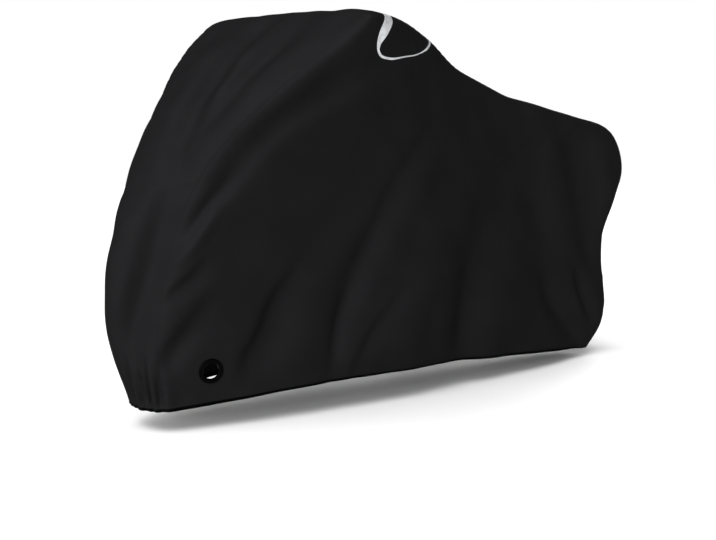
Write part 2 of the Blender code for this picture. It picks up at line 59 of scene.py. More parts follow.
HEM_BAND = 0.015  # width of the turned hem that holds the elastic
ROWS = 17  # rows of the coarse net above the hem band
SIDE_STEPS = (7, 7, 6, 5, 4, 3)  # its columns between two guide lines of a side panel
ACROSS = 10  # its columns across the front, the top and the rear
FINER = 3  # times the coarse net is halved into the smooth cloth
RIM_REACH = 4  # columns of the top strip over which its ends' bow fades
ROUNDING = 2  # smoothing rounds that round the panel corners
HALF_MOVE = 0.5  # share of the way that smoothing moves a point of the cloth
HEM_MOVE = 0.35  # and a point of the hem, for each of its two neighbours
CLOTH = 0.0009  # thickness of the coated cloth

HEM_HOLD = 0.45  # share of a fold's height that the elastic hem lets through
HEM_HEIGHTS = (0.06, 0.20)  # it holds the cloth below the first height, not past the second
FOLD_STEPS = 24  # straight steps along a fold's line
FOLD_END = 0.02  # share of its length over which a fold's end stays even
FOLD_TAPER = 0.6  # how fast a fold grows from its ends, less is faster
FOLD_FACING = (0.2, 0.6)  # a fold grows as the cloth turns to face it between these shares

# Upright guide lines round one half of the drape, from the front to the rear, in millimetres.
# Each row holds the line's points (place along the cover, half width, height over the floor) at
# the hem, the ankle, the knee, the waist, the chest and the top edge. The crown is the rise of
# the top strip's middle over that edge.
Guide = namedtuple("Guide", "hem ankle knee waist chest edge crown")
GUIDES = (
    Guide((-454, 0, 50), (-522, 0, 290), (-507, 0, 480), (-417, 0, 720), (-242, 0, 955),
          (50, 0, 1180), 0),
    Guide((-425, 105, 54), (-440, 115, 280), (-405, 130, 480), (-340, 180, 715), (-175, 275, 935),
          (85, 354, 1172), 4),
    Guide((-200, 155, 72), (-170, 175, 280), (-120, 195, 500), (-30, 235, 725), (80, 280, 930),
          (205, 325, 1165), 4),
    Guide((100, 190, 88), (140, 210, 280), (190, 220, 500), (250, 240, 720), (310, 255, 925),
          (370, 265, 1130), 0),
    Guide((450, 195, 88), (480, 225, 280), (500, 215, 480), (520, 205, 700), (535, 205, 880),
          (545, 198, 1060), 6),
    Guide((820, 165, 73), (820, 185, 270), (815, 170, 460), (810, 155, 650), (805, 150, 820),
          (800, 140, 980), 12),
    Guide((1150, 130, 50), (1160, 135, 260), (1160, 125, 430), (1165, 120, 600), (1165, 115, 760),
          (1165, 110, 918), 6),
    Guide((1388, 83, 20), (1466, 97, 95), (1468, 95, 390), (1492, 95, 550), (1570, 90, 715),
          (1510, 85, 868), 4),
    Guide((1428, 0, 22), (1505, 0, 110), (1515, 0, 390), (1545, 0, 550), (1625, 0, 715),
          (1550, 0, 868), 0),
)

# One row for each fold: half width, height, lean and line, all but the lean in millimetres.
# The line runs through the given points, seen square to its panel: (along, up) on a side and
# (across, up) on the front. The half width is where the fold has sunk to a third. A positive
# height is a ridge and a negative one a trough. The lean makes the slope on the line's left
# steeper than the one on its right, or with a minus the other way round.
LEFT_FOLDS = (
    # the long drag line from the top edge down to the front seam and the ridge under it
    (40, -18, 0.3, ((360, 1065), (240, 1030), (160, 998), (70, 954), (-20, 906), (-100, 853),
     (-170, 793), (-240, 705), (-300, 625), (-360, 540))),
    (60, 10, -0.4, ((360, 1000), (200, 955), (100, 905), (0, 855), (-100, 790), (-170, 735),
     (-240, 655), (-300, 570), (-350, 490), (-400, 440))),
    (22, -11, 0, ((-235, 710), (-260, 674), (-292, 634), (-322, 594), (-350, 550), (-375, 505))),
    (18, 12, -0.3, ((-270, 635), (-310, 572), (-339, 528), (-367, 489), (-391, 460))),
    # short tucks at the front seam
    (24, -12, -0.5, ((-295, 476), (-318, 452), (-350, 418), (-385, 388), (-410, 355))),
    (22, 4, 0, ((-290, 410), (-345, 370), (-400, 330))),
    (40, -19, -0.4, ((-283, 356), (-303, 332), (-330, 300), (-360, 266), (-388, 232), (-405, 197),
     (-413, 155))),
    # troughs that fan out to the hem, with soft ridges between them
    (42, -20, -0.4, ((-10, 440), (-42, 405), (-80, 360), (-108, 310), (-128, 260), (-160, 210),
     (-210, 165), (-275, 115))),
    (60, 9, 0, ((220, 660), (120, 500), (40, 380), (0, 280), (-30, 150), (-50, 0))),
    (200, -26, 0, ((260, 800), (170, 680), (90, 550), (30, 420), (-10, 300), (-30, 150))),
    (45, -14, -0.2, ((460, 870), (400, 780), (330, 690), (280, 610), (240, 530), (190, 445), (135, 345),
     (110, 260), (95, 180), (85, 90), (80, -60))),
    (22, -8, -0.2, ((160, 390), (115, 280), (100, 200), (88, 100))),
    (50, 7, 0, ((500, 820), (390, 650), (290, 520), (230, 420), (190, 330), (160, 240), (130, 170),
     (120, 80))),
    (30, -9, -0.3, ((340, 360), (285, 290), (230, 220), (195, 165), (170, 100), (160, 0))),
    (115, -36, -0.05, ((870, 740), (820, 630), (775, 520), (725, 445), (680, 364), (657, 294),
     (645, 213), (643, 100), (643, -120))),
    (50, -7, 0, ((675, 430), (640, 300), (625, 200), (625, 100), (625, -60))),
    (70, 10, 0.2, ((500, 550), (420, 360), (370, 200), (360, 0), (360, -100))),
    (80, 12, 0, ((880, 580), (780, 420), (740, 300), (735, 180), (740, 0), (740, -100))),
    # rear
    (125, -34, 0, ((920, 800), (970, 700), (1020, 610), (1060, 520), (1090, 430), (1120, 338),
     (1150, 245), (1170, 150))),
    (45, 6, 0, ((1070, 820), (1120, 640), (1170, 500), (1200, 360))),
    (110, -34, -0.3, ((1200, 860), (1245, 780), (1290, 700), (1330, 618), (1360, 532), (1390, 448),
     (1410, 360), (1420, 280))),
    (200, -12, 0, ((1270, 600), (1310, 480), (1335, 360), (1350, 220), (1350, 60))),
    (70, -30, -0.1, ((1070, 340), (1110, 285), (1175, 205), (1245, 125), (1300, 60), (1340, 0))),
    (32, -21, 0, ((1280, 360), (1320, 285), (1355, 215), (1380, 155), (1400, 110))),
    (35, 4, 0, ((1160, 300), (1240, 190), (1310, 110), (1380, 40))),
    (50, 12, 0, ((1340, 860), (1440, 740), (1480, 600), (1490, 450))),
)
FRONT_FOLDS = (
    # drag lines from the top edge's middle down along the left seam
    (44, -33, 0.2, ((60, 1200), (35, 1122), (13, 1041), (-21, 950), (-47, 877), (-76, 799), (-104, 727),
     (-125, 670))),
    (34, -21, 0.2, ((-85, 1190), (-110, 1123), (-122, 1060), (-122, 980), (-127, 900), (-133, 800))),
    (28, 9, 0, ((-20, 1160), (-40, 1100), (-52, 1040), (-68, 970), (-85, 905))),
    (40, 6, 0, ((120, 1150), (90, 1050), (55, 950), (15, 860), (-20, 780))),
    (60, 4, 0, ((190, 1160), (150, 980), (110, 780), (70, 600))),
    (90, 13, 0, ((320, 1220), (318, 1150), (308, 1070), (290, 980))),
    (70, 12, 0, ((50, 660), (55, 580), (60, 450), (60, 290), (55, 160), (50, 60))),
    (44, -5, 0.2, ((270, 1140), (230, 980), (180, 800), (150, 660))),
    (45, -36, 0.2, ((-112, 710), (-105, 630), (-103, 545), (-96, 463), (-84, 396), (-70, 315),
     (-50, 231), (-35, 160))),
    (34, 6, 0, ((-10, 620), (0, 450), (10, 280))),
)
RIGHT_FOLDS = (
    (42, 14, 0.3, ((300, 1060), (20, 930), (-180, 740), (-320, 560), (-420, 400))),
    (44, -14, -0.3, ((100, 1120), (-130, 900), (-270, 730), (-360, 550))),
    (30, -10, 0.3, ((-250, 440), (-340, 360), (-430, 260))),
    (42, -18, 0.3, ((20, 600), (-50, 440), (-130, 300), (-200, 160), (-240, 20))),
    (55, 12, -0.2, ((220, 720), (100, 500), (30, 300), (0, 100), (0, -80))),
    (45, -20, 0.3, ((400, 900), (310, 680), (240, 460), (190, 240), (170, 0), (170, -120))),
    (60, 14, -0.2, ((520, 800), (440, 580), (370, 360), (340, 120), (330, -60))),
    (65, -30, 0.3, ((780, 720), (680, 500), (630, 320), (610, 140), (600, -120))),
    (80, 14, -0.2, ((950, 600), (880, 400), (840, 200), (830, -80))),
    (50, -14, 0.2, ((1100, 840), (1170, 660), (1220, 460), (1240, 280))),
    (45, -12, 0.3, ((980, 360), (1100, 220), (1240, 120), (1360, 10))),
    (45, 10, -0.2, ((1220, 480), (1320, 300), (1400, 140), (1440, 20))),
)


def blend(value, start, end):
    """Smooth step from 0 at start to 1 at end."""
    share = np.clip((np.asarray(value, float) - start) / (end - start), 0.0, 1.0)
    return share * share * (3.0 - 2.0 * share)


def metres(millimetres):
    """The tables' numbers in metres."""
    return np.array(millimetres) / 1000.0


def run_along(points):
    """How far along its line each point lies."""
    return np.concatenate(([0.0], np.cumsum(np.linalg.norm(np.diff(points, axis=0), axis=1))))


def smooth_line(points, shares):
    """Points at the given shares of a smooth curve through the given points."""
    points = np.asarray(points, float)
    run = run_along(points)
    knots = run / run[-1]
    slopes = np.gradient(points, knots, axis=0)
    shares = np.asarray(shares, float)
    first = np.clip(np.searchsorted(knots, shares, side="right") - 1, 0, len(points) - 2)
    width = (knots[first + 1] - knots[first])[:, None]
    t = (shares - knots[first])[:, None] / width
    start, end = points[first], points[first + 1]
    return (start * (2 * t**3 - 3 * t**2 + 1) + slopes[first] * width * (t**3 - 2 * t**2 + t)
            + end * (3 * t**2 - 2 * t**3) + slopes[first + 1] * width * (t**3 - t**2))


# ------------ the coarse net of the drape
SIDE = sum(SIDE_STEPS)
RING = 2 * SIDE + 2 * ACROSS
LEVELS = ROWS + 2
NEAR, FAR, CENTRE = 0, 1, 2


def guide_line(guide):
    """The points of one guide line at every level, from the hem up to the top edge."""
    points = metres(guide[:-1])
    band = HEM_BAND / run_along(points)[-1]
    return smooth_line(points, np.concatenate(([0.0], np.linspace(band, 1.0, ROWS + 1))))


def side_level(lines, level):
    """One level of a side panel: a curve through its guide lines, column by column."""
    points = np.array([line[level] for line in lines])
    knots = run_along(points)
    knots /= knots[-1]
    shares = [0.0]
    for start, end, steps in zip(knots[:-1], knots[1:], SIDE_STEPS):
        shares.extend(start + (end - start) * (step + 1) / steps for step in range(steps))
    return smooth_line(points, shares)


def end_level(seam, middle):
    """One level of the front or rear, bowed from seam to seam through the middle point."""
    across = np.linspace(-1.0, 1.0, ACROSS + 1)
    bow = 1.0 - across**2
    x = seam[0] + (middle[0] - seam[0]) * bow
    z = seam[2] + (middle[2] - seam[2]) * bow
    return np.stack([x, across * seam[1], z], axis=1)


def ring_level(lines, level):
    """One closed ring of the drape: near side, rear, far side and front."""
    near = side_level(lines[1:-1], level) * (1.0, -1.0, 1.0)
    far = (near * (1.0, -1.0, 1.0))[::-1]
    rear = end_level(lines[-2][level], lines[-1][level])
    front = end_level(lines[1][level], lines[0][level])[::-1]
    return np.concatenate([near[:-1], rear[:-1], far[:-1], front[:-1]])


def top_index(across, along):
    """Index of a point of the top strip, whose rim is the ring's highest level."""
    rim = (LEVELS - 1) * RING
    if across == 0:
        return rim + along
    if across == ACROSS:
        return rim + 2 * SIDE + ACROSS - along
    if along == 0:
        return rim + (RING - across) % RING
    if along == SIDE:
        return rim + SIDE + across
    return LEVELS * RING + (across - 1) * (SIDE - 1) + along - 1


def net_faces():
    """Quads of the drape with the panel that each belongs to."""
    faces, panels = [], []
    for level in range(LEVELS - 1):
        for column in range(RING):
            after = (column + 1) % RING
            low, high = level * RING, (level + 1) * RING
            faces.append((low + column, low + after, high + after, high + column))
            in_far = SIDE + ACROSS <= column < 2 * SIDE + ACROSS
            panels.append(NEAR if column < SIDE else FAR if in_far else CENTRE)
    for across in range(ACROSS):
        for along in range(SIDE):
            faces.append((top_index(across, along), top_index(across, along + 1),
                          top_index(across + 1, along + 1), top_index(across + 1, along)))
            panels.append(CENTRE)
    return faces, panels


def top_points(ring):
    """Inner points of the top strip, stretched between the two top edges."""
    knots = np.concatenate(([0], np.cumsum(SIDE_STEPS)))
    crowns = np.interp(np.arange(SIDE + 1), knots, metres([guide.crown for guide in GUIDES[1:-1]]))
    points = []
    for across in range(1, ACROSS):
        share = across / ACROSS
        bow = 1.0 - (2.0 * share - 1.0) ** 2
        front_middle = ring[0] + (ring[2 * SIDE + ACROSS] - ring[0]) * share
        rear_middle = ring[SIDE] + (ring[SIDE + ACROSS] - ring[SIDE]) * share
        front = ring[RING - across] - front_middle
        rear = ring[SIDE + across] - rear_middle
        for along in range(1, SIDE):
            near, far = ring[along], ring[2 * SIDE + ACROSS - along]
            point = near + (far - near) * share
            point += front * max(0.0, 1.0 - along / RIM_REACH)
            point += rear * max(0.0, 1.0 - (SIDE - along) / RIM_REACH)
            point[2] += crowns[along] * bow
            points.append(point)
    return np.array(points)


def fair(points, faces):
    """Round the corners: each point moves halfway to the mean of its neighbours."""
    edges = {tuple(sorted((face[i], face[(i + 1) % 4]))) for face in faces for i in range(4)}
    edges = np.array(sorted(edges))
    hem = points[:RING].copy()
    for _ in range(ROUNDING):
        total = np.zeros_like(points)
        count = np.zeros((len(points), 1))
        for start, end in (edges.T, edges.T[::-1]):
            np.add.at(total, start, points[end])
            np.add.at(count, start, 1.0)
        points = points + HALF_MOVE * (total / count - points)
        hem = hem + HEM_MOVE * (np.roll(hem, 1, axis=0) + np.roll(hem, -1, axis=0) - 2 * hem)
        points[:RING] = hem
    return points


def turn_top(points):
    """Shift the far half forward and the near half back, as the cover hangs turned."""
    grow = blend(points[:, 2], *TURN_HEIGHTS) * (1.0 - blend(points[:, 0], *TURN_REACH))
    points[:, 0] -= TURN * grow * points[:, 1]
    points[:, 2] += TILT * grow * points[:, 1]
    points[:, 1] += SWAY * grow
    return points


# ------------ the fine cloth
WAVES = 14  # slow waves that keep the cloth from lying dead even
WAVE_LENGTHS = (0.09, 0.30)  # their shortest and longest length
WAVE_HEIGHT = 0.0006  # height of each
WAVE_SEED = 5  # which waves are drawn

PLEATS = 12  # pleats that the elastic draws across an end
PLEAT_SPREAD = (0.110, 0.084)  # half the width that they take up, at the front and the rear
PLEAT_REACH = (0.16, 0.26)  # how far up the shortest and the longest of them run
PLEAT_WIDTH = 0.0072  # half width of a pleat's trough
PLEAT_DEPTH = 0.0230  # its depth at the hem
PLEAT_LEAN = 0.10  # how far a pleat drifts sideways for each metre up
PLEAT_HELD = 0.25  # share of its depth that is left at the hem's edge
PLEAT_GROWN = 0.040  # distance from that edge at which it has its whole depth
PLEAT_FACING = (0.10, 0.45)  # it grows as the cloth turns to face the front or the rear
PLEAT_STRAY = 0.005  # how far a pleat may stand beside its even place
PLEAT_DEPTHS = (0.6, 1.1)  # share of the depth that each may have
PLEAT_LEANS = (0.3, 1.0)  # and of the lean
PLEAT_FADE = 0.45  # it fades out from this share of its reach
PLEAT_SEED = 11  # which pleats are drawn

SEAM_SINK = 0.0005  # how deep a seam is drawn in
SEAM_WIDTH = 0.005  # half width of that groove
SEAM_PUCKER = 0.0006  # height of the small puckers along a seam
PUCKER_PITCH = 0.031  # distance between them
PUCKER_STRAY = 0.4  # share of that distance by which they stray
PUCKER_CHANGE = 9.0  # how fast the straying changes, in radians for each metre of seam
PUCKER_REACH = 0.022  # how far they run from the seam

HEM_ROLL = 0.0020  # how far the hem band swells out over its elastic
HEM_CURL = 0.0090  # how far its edge turns in under the cover
HEM_GROOVE = 0.4  # depth of the groove along its stitching, a share of the roll
HEM_GROOVE_WIDTH = 0.2  # and its half width, a share of the band
HEM_SHADE_EDGE = (0.011, 0.013)  # the hem band's painted shade ends between these distances from its edge

CORNER_ROUNDS = 60  # smoothing rounds that soften the front corners of the fine cloth
CORNER_REACH = 0.085  # how far from a seam they reach
CORNER_ALONG = (0.00, 0.14)  # they fade out between these places along the cover

EYELET_AT = (-0.293, 0.141, 0.165)  # along, half width and height over the floor
EYELET_YAW = math.radians(12.0)  # how far its face looks forward from square to the side
EYELET_DIP = math.radians(4.0)  # how far its face looks down
EYELET_FLAT = (0.055, 0.120)  # cloth is flat inside the first radius, free past the second
EYELET_HOLE = 0.0225  # radius of the clear hole
EYELET_RIM = 0.0350  # radius of the flange
CLOTH_HOLE = 0.0255  # radius of the hole in the cloth, hidden by the flange
HOLE_MARGIN = 0.002  # cloth is cut away this far round it, then drawn in to it

CLOTH_SHARP = math.radians(40.0)  # cut edges of the cloth over this angle stay sharp

Cloth = namedtuple("Cloth", "points normals faces panels chart seams hem above")


def new_object(name, points, faces):
    """A mesh object from points and faces."""
    data = bpy.data.meshes.new(name)
    data.from_pydata(points, [], faces)
    made = bpy.data.objects.new(name, data)
    bpy.context.scene.collection.objects.link(made)
    return made


def patch(name, points, faces):
    """A mesh object of these faces of the cloth alone, and the points that they use."""
    used, local = np.unique(faces, return_inverse=True)
    return new_object(name, points[used].tolist(), local.reshape(-1, 4).tolist()), used


def take(item):
    """Select only this object and make it active."""
    bpy.ops.object.select_all(action="DESELECT")
    item.select_set(True)
    bpy.context.view_layer.objects.active = item


def finish_modifiers(piece):
    """Apply all of a piece's modifiers in their order."""
    take(piece)
    for modifier in list(piece.modifiers):
        bpy.ops.object.modifier_apply(modifier=modifier.name)


def strip_lengths(points):
    """How far each point of the net lies along the centre strip, from the top's front edge."""
    middle = ACROSS // 2
    run = run_along([points[top_index(middle, along)] for along in range(SIDE + 1)])
    lengths = np.zeros(len(points))
    for along in range(SIDE + 1):
        for across in range(ACROSS + 1):
            lengths[top_index(across, along)] = run[along]
    for first, sign, start in ((2 * SIDE + ACROSS, -1.0, 0.0), (SIDE, 1.0, run[-1])):
        column = [level * RING + first + middle for level in range(LEVELS)][::-1]
        drop = run_along(points[column])[1:]
        for across in range(ACROSS + 1):
            rows = [level * RING + (first + across) % RING for level in range(LEVELS - 1)][::-1]
            lengths[rows] = start + sign * drop
    return lengths


def smooth_net():
    """The coarse net with its corners rounded, halved again and again into fine quads."""
    lines = [guide_line(guide) for guide in GUIDES]
    rings = [ring_level(lines, level) for level in range(LEVELS)]
    points = np.concatenate(rings + [top_points(rings[-1])])
    faces, panels = net_faces()
    points = turn_top(fair(points, faces))
    drape = new_object("drape", points.tolist(), faces)
    attributes, strip = drape.data.attributes, strip_lengths(points)
    attributes.new("panel", "INT", "FACE").data.foreach_set("value", panels)
    attributes.new("strip", "FLOAT", "POINT").data.foreach_set("value", strip)
    finer = drape.modifiers.new("finer", "SUBSURF")
    finer.levels = finer.render_levels = FINER
    finish_modifiers(drape)
    return drape


def read(collection, key, width, kind=float):
    """All values of one kind from a mesh as an array."""
    values = np.empty(len(collection) * width, kind)
    collection.foreach_get(key, values)
    return values.reshape(-1, width) if width > 1 else values


def walk(edges):
    """The points along a chain of edges, in order, from its end nearest the front hem."""
    beside = {}
    for start, end in edges.tolist():
        beside.setdefault(start, []).append(end)
        beside.setdefault(end, []).append(start)
    ends = sorted(point for point, others in beside.items() if len(others) == 1)
    chain = [ends[0] if ends else min(beside)]
    seen = set(chain)
    while True:
        after = [point for point in beside[chain[-1]] if point not in seen]
        if not after:
            return np.array(chain)
        chain.append(after[0])
        seen.add(after[0])


def face_sides(faces):
    """The start and the end point of every side of every face."""
    return faces.reshape(-1), np.roll(faces, -1, axis=1).reshape(-1)


def find_edges(faces, panels):
    """The two seams and the hem, each as an ordered chain of points."""
    edges = np.sort(np.stack(face_sides(faces), axis=1), axis=1)
    owner = np.repeat(panels, 4)
    unique, inverse, count = np.unique(edges, axis=0, return_inverse=True, return_counts=True)
    inverse = inverse.reshape(-1)
    lowest, highest = np.full(len(unique), CENTRE), np.full(len(unique), NEAR)
    np.minimum.at(lowest, inverse, owner)
    np.maximum.at(highest, inverse, owner)
    seams = [walk(unique[(lowest == side) & (highest == CENTRE)]) for side in (NEAR, FAR)]
    return seams, walk(unique[count == 1])


def reach_from(points, chain):
    """Each point's distance from a chain, and how far along the chain it lies."""
    tree = KDTree(len(chain))
    for number, point in enumerate(points[chain].tolist()):
        tree.insert(point, number)
    tree.balance()
    nearest, away = zip(*(tree.find(point)[1:] for point in points.tolist()))
    return np.array(away), run_along(points[chain])[list(nearest)]


def soften_corners(points, faces, seams):
    """Round the front corners: points near a seam move to the mean of their neighbours."""
    starts, ends = face_sides(faces)
    starts, ends = np.concatenate([starts, ends]), np.concatenate([ends, starts])
    count = np.bincount(starts, minlength=len(points))
    away = np.minimum(*(reach_from(points, seam)[0] for seam in seams))
    weight = (1.0 - blend(away, 0.0, CORNER_REACH)) * (1.0 - blend(points[:, 0], *CORNER_ALONG))
    weight = (HALF_MOVE * weight * blend(points[:, 2], *HEM_HEIGHTS))[:, None]
    for _ in range(CORNER_ROUNDS):
        total = [np.bincount(starts, points[ends, axis], len(points)) for axis in range(3)]
        points = points + weight * (np.stack(total, axis=1) / count[:, None] - points)
    return points


def fold_push(chart, facing, fold):
    """How far one fold moves each point of its panel's chart along its normal."""
    half_width, height, lean, line = fold
    half_width = metres(half_width)
    path = smooth_line(metres(line), np.linspace(0.0, 1.0, FOLD_STEPS + 1))
    away = np.full(len(chart), np.inf)
    share, left = np.zeros(len(chart)), np.zeros(len(chart))
    for step, (start, end) in enumerate(zip(path[:-1], path[1:])):
        run = end - start
        offset = chart - start
        t = np.clip((offset @ run) / (run @ run), 0.0, 1.0)
        distance = np.linalg.norm(offset - t[:, None] * run, axis=1)
        closer = distance < away
        away[closer] = distance[closer]
        share[closer] = (step + t[closer]) / FOLD_STEPS
        square = (run[0] * offset[closer, 1] - run[1] * offset[closer, 0]) / np.linalg.norm(run)
        left[closer] = np.tanh(square / half_width)
    taper = np.sin(np.pi * np.clip(share, FOLD_END, 1.0 - FOLD_END)) ** FOLD_TAPER
    held = HEM_HOLD + (1.0 - HEM_HOLD) * blend(chart[:, 1], *HEM_HEIGHTS)
    shape = np.exp(-(away / (half_width * (1.0 - lean * left))) ** 2)
    return metres(height) * shape * taper * held * blend(facing, *FOLD_FACING)


def waves(points):
    """Slow uneven waves over the whole cloth."""
    random = np.random.RandomState(WAVE_SEED)
    push = np.zeros(len(points))
    for _ in range(WAVES):
        direction = random.normal(size=3)
        turns = points @ (direction / np.linalg.norm(direction)) / random.uniform(*WAVE_LENGTHS)
        push += np.sin(2.0 * np.pi * (turns + random.uniform()))
    return WAVE_HEIGHT * push


def pleats(points, normals, above):
    """Small uneven pleats above the elastic, at the front and at the rear."""
    random = np.random.RandomState(PLEAT_SEED)
    push = np.zeros(len(points))
    for end, spread in zip((-1.0, 1.0), PLEAT_SPREAD):
        facing = blend(end * normals[:, 0], *PLEAT_FACING)
        for place in np.linspace(-spread, spread, PLEATS):
            place += random.uniform(-PLEAT_STRAY, PLEAT_STRAY)
            reach = random.uniform(*PLEAT_REACH)
            depth = PLEAT_DEPTH * random.uniform(*PLEAT_DEPTHS)
            middle = place - PLEAT_LEAN * random.uniform(*PLEAT_LEANS) * points[:, 2]
            trough = np.exp(-((points[:, 1] - middle) / PLEAT_WIDTH) ** 2)
            fade = 1.0 - blend(points[:, 2], PLEAT_FADE * reach, reach)
            push -= depth * trough * fade * facing
    return push * (PLEAT_HELD + (1.0 - PLEAT_HELD) * blend(above, 0.0, PLEAT_GROWN))


def eyelet_frame(side):
    """Centre and outward direction of the eyelet on one side, -1 left and +1 right."""
    along, half_width, height = EYELET_AT
    level = math.cos(EYELET_DIP)
    outward = Vector((-math.sin(EYELET_YAW) * level, side * math.cos(EYELET_YAW) * level,
                      -math.sin(EYELET_DIP)))
    return Vector((along, side * half_width, height)), outward


def flatten_at_eyelets(points):
    """Lay the cloth flat where an eyelet clamps it."""
    for side in (-1, 1):
        centre, outward = (np.array(vector) for vector in eyelet_frame(side))
        offset = points - centre
        height = offset @ outward
        radius = np.linalg.norm(offset - height[:, None] * outward, axis=1)
        weight = (1.0 - blend(radius, *EYELET_FLAT)) * (points[:, 1] * side > 0)
        points = points - (weight * height)[:, None] * outward
    return points


def hem_push(above):
    """The hem band: swollen over its elastic, stitched down above and curled in below."""
    band = np.clip(above / HEM_BAND, 0.0, 1.0)
    roll = HEM_ROLL * np.sin(np.pi * band)
    curl = HEM_CURL * (1.0 - band) ** 2
    groove = np.exp(-((above - HEM_BAND) / (HEM_GROOVE_WIDTH * HEM_BAND)) ** 2)
    return roll - curl - HEM_GROOVE * HEM_ROLL * groove


def face_normals_at(points, faces):
    """Outward unit normal at each point."""
    corners = points[faces]
    facing = np.cross(corners[:, 2] - corners[:, 0], corners[:, 3] - corners[:, 1])
    normals = np.zeros_like(points)
    for corner in range(4):
        np.add.at(normals, faces[:, corner], facing)
    return normals / np.linalg.norm(normals, axis=1, keepdims=True)


def drape_cloth():
    """The whole fine cloth with its folds, pleats, seams and hem, in the part's own frame."""
    drape = smooth_net()
    data = drape.data
    points = read(data.vertices, "co", 3)
    faces = read(data.loops, "vertex_index", 1, np.int32).reshape(-1, 4)
    panels = read(data.attributes["panel"].data, "value", 1, np.int32)
    strip = read(data.attributes["strip"].data, "value", 1)
    bpy.data.objects.remove(drape, do_unlink=True)
    seams, hem = find_edges(faces, panels)
    points = soften_corners(points, faces, seams)
    normals = face_normals_at(points, faces)
    above, _ = reach_from(points, hem)
    push = waves(points) + pleats(points, normals, above)
    for folds, axes, facing in ((LEFT_FOLDS, (0, 2), -normals[:, 1]),
                                (FRONT_FOLDS, (1, 2), -normals[:, 0]),
                                (RIGHT_FOLDS, (0, 2), normals[:, 1])):
        for fold in folds:
            push += fold_push(points[:, axes], facing, fold)
    for seam in seams:
        away, along = reach_from(points, seam)
        stray = PUCKER_STRAY * np.sin(along * PUCKER_CHANGE)
        pucker = np.sin(2.0 * np.pi * (along / PUCKER_PITCH + stray))
        push -= SEAM_SINK * np.exp(-(away / SEAM_WIDTH) ** 2)
        push += SEAM_PUCKER * pucker * np.exp(-(away / PUCKER_REACH) ** 2)
    push += hem_push(above)
    chart = np.stack([points[:, 0], points[:, 2], points[:, 1], strip], axis=1)
    points = flatten_at_eyelets(points + normals * push[:, None])
    normals = face_normals_at(points, faces)
    return Cloth(points - HANG, normals, faces, panels, chart, seams, hem, above)


# ------------ the panels
def panel_sheet(name, cloth, panel):
    """One panel as a single surface, with its own lie of the cloth as a map in metres and a mask for
    the painted shade of its hem band.
    """
    chosen = cloth.faces[cloth.panels == panel]
    sheet, used = patch(name, cloth.points, chosen)
    data = sheet.data
    flat = cloth.chart[:, 2:] if panel == CENTRE else cloth.chart[:, :2]
    data.uv_layers.new(name="cloth").data.foreach_set("uv", flat[chosen].reshape(-1))
    # mask of the hem band, where shade is painted into the colour and the finish is made matt
    painted_hem_shade = 1.0 - blend(cloth.above[used], *HEM_SHADE_EDGE)
    data.attributes.new("hem_band_painted_shade", "FLOAT", "POINT").data.foreach_set("value", painted_hem_shade)
    data.shade_smooth()
    return sheet


def cut_eyelet_hole(sheet, side):
    """Cut the round hole for an eyelet, its edge hidden under the flange."""
    centre, outward = eyelet_frame(side)
    centre -= Vector(HANG)
    mesh = bmesh.new()
    mesh.from_mesh(sheet.data)
    inside = [face for face in mesh.faces
              if (face.calc_center_median() - centre).length < CLOTH_HOLE + HOLE_MARGIN]
    bmesh.ops.delete(mesh, geom=inside, context="FACES")
    for vert in mesh.verts:
        offset = vert.co - centre
        if vert.is_boundary and offset.length < EYELET_RIM:
            offset -= outward * offset.dot(outward)
            vert.co = centre + offset.normalized() * CLOTH_HOLE
    mesh.to_mesh(sheet.data)
    mesh.free()


def thicken(sheet, thickness):
    """Give a sheet its thickness, inwards from its face."""
    solid = sheet.modifiers.new("thickness", "SOLIDIFY")
    solid.thickness = thickness
    solid.offset = -1.0
    solid.use_quality_normals = True
    finish_modifiers(sheet)
    bpy.ops.object.shade_smooth_by_angle(angle=CLOTH_SHARP)


def cloth_panels(cloth):
    """The left, right and centre panels."""
    panels = {}
    for name, panel, side in (("left_panel", NEAR, -1), ("right_panel", FAR, 1),
                              ("middle_panel", CENTRE, 0)):
        sheet = panel_sheet(name, cloth, panel)
        if side:
            cut_eyelet_hole(sheet, side)
        thicken(sheet, CLOTH)
        panels[name] = sheet
    return panels


# ------------ the eyelets
RING_STEPS = 96  # steps round an eyelet
CROWN = 0.0040  # height of the flange over the cloth
CROWN_STEPS = 12  # steps over its crown
CROWN_SIDE = 0.0010  # height of its upright side, below the crown
CROWN_SHAPE = (0.8, 0.7)  # powers under 1 that make the crown fuller, across and up
NECK_WALL = 0.0015  # wall of the neck that goes through the cloth
NECK_LIP = 0.0030  # how far the neck is rolled out inside
LIP = 0.0010  # thickness of that lip
LIP_BEVELS = (0.0006, 0.0004)  # its bevels at the hole and at its rim
BACKING = 0.0015  # thickness of the washer inside
BACKING_RIM = 0.0330  # and its radius
BACKING_BEVEL = 0.0004  # the bevel of its edges
APART = 0.0003  # gap between two pieces that touch
CAD_CLOTH = 0.0020  # depth that the neck keeps for the cloth
RING_MERGE = 0.00002  # points of a turned ring closer than this are one
RING_SHARP = math.radians(50.0)  # its edges over this angle stay sharp


